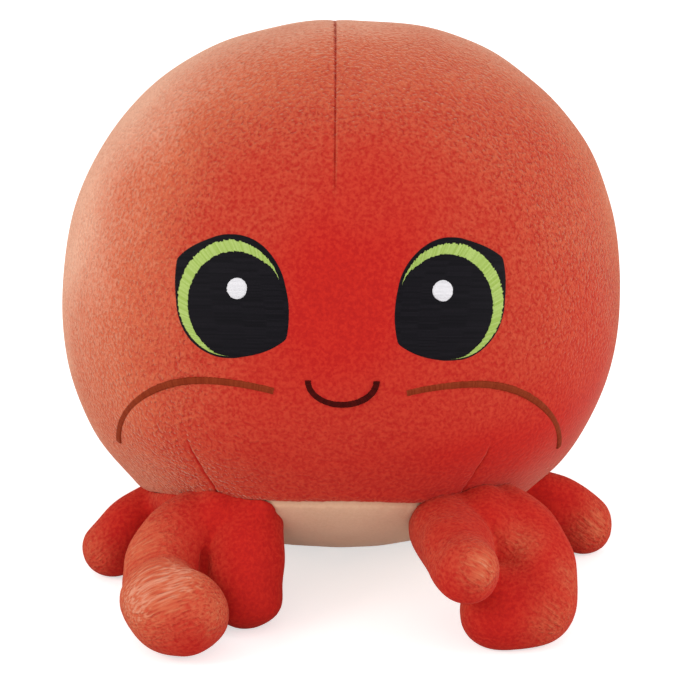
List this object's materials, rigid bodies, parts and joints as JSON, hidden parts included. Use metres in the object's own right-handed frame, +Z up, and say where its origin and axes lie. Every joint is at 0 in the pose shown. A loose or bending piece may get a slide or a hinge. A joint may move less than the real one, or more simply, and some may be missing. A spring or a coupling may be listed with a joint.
{
  "type": "plush crab",
  "caption": "Stuffed toy crab: a round red pile ball that rests on its cream belly, with two-fingered claws, short side legs and an embroidered face.",
  "frame": {"origin": "on the flat spot under the belly that the toy rests on, straight below the middle of the ball", "axes": "+Z up, -Y the way the face looks, +X to the toy's own left"},
  "size_m": [0.2088, 0.2373, 0.1966],
  "materials": {
    "coral_pile": "short dense pile with a pale sheen at its edges",
    "cream_cloth": "short cream pile",
    "black_thread": "filled embroidery",
    "green_thread": "satin stitch",
    "white_thread": "satin stitch",
    "dark_thread": "satin stitch",
    "brown_thread": "satin stitch"
  },
  "bodies": {
    "root": {"body": "coral_pile", "belly_panel": "cream_cloth", "left_claw": "coral_pile", "right_claw": "coral_pile", "left_leg": "coral_pile", "right_leg": "coral_pile", "left_eye_patch": "black_thread", "right_eye_patch": "black_thread", "left_eye_iris": "green_thread", "right_eye_iris": "green_thread", "left_eye_glint": "white_thread", "right_eye_glint": "white_thread", "smile": "dark_thread", "left_cheek_line": "brown_thread", "right_cheek_line": "brown_thread"}
  },
  "joints": []
}
